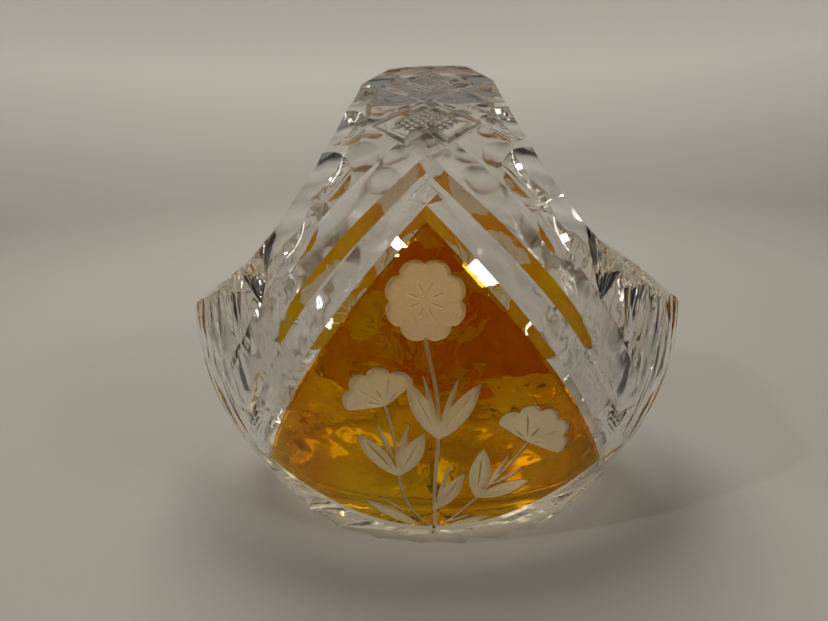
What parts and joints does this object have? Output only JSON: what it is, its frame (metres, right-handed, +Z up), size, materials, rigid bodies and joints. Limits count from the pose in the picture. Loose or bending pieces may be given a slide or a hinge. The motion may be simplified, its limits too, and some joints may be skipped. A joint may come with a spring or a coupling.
{
  "type": "cut crystal basket vase",
  "caption": "Egg-shaped cut crystal basket vase with a strap handle front to back, mitre-cut arches, and amber panels engraved with flowers.",
  "frame": {"origin": "middle of the standing face, straight below the middle of the handle", "axes": "+Z up, +X along the bowl's long way from lip to lip, -Y towards the front panel"},
  "size_m": [0.1686, 0.1118, 0.148],
  "materials": {
    "clear_crystal": "polished, mitre cut",
    "amber_flash": "polished, with frosted engraving cut through it"
  },
  "bodies": {
    "root": {"crystal_body": "clear_crystal", "amber_panel_front": "amber_flash", "amber_panel_back": "amber_flash"}
  },
  "joints": []
}
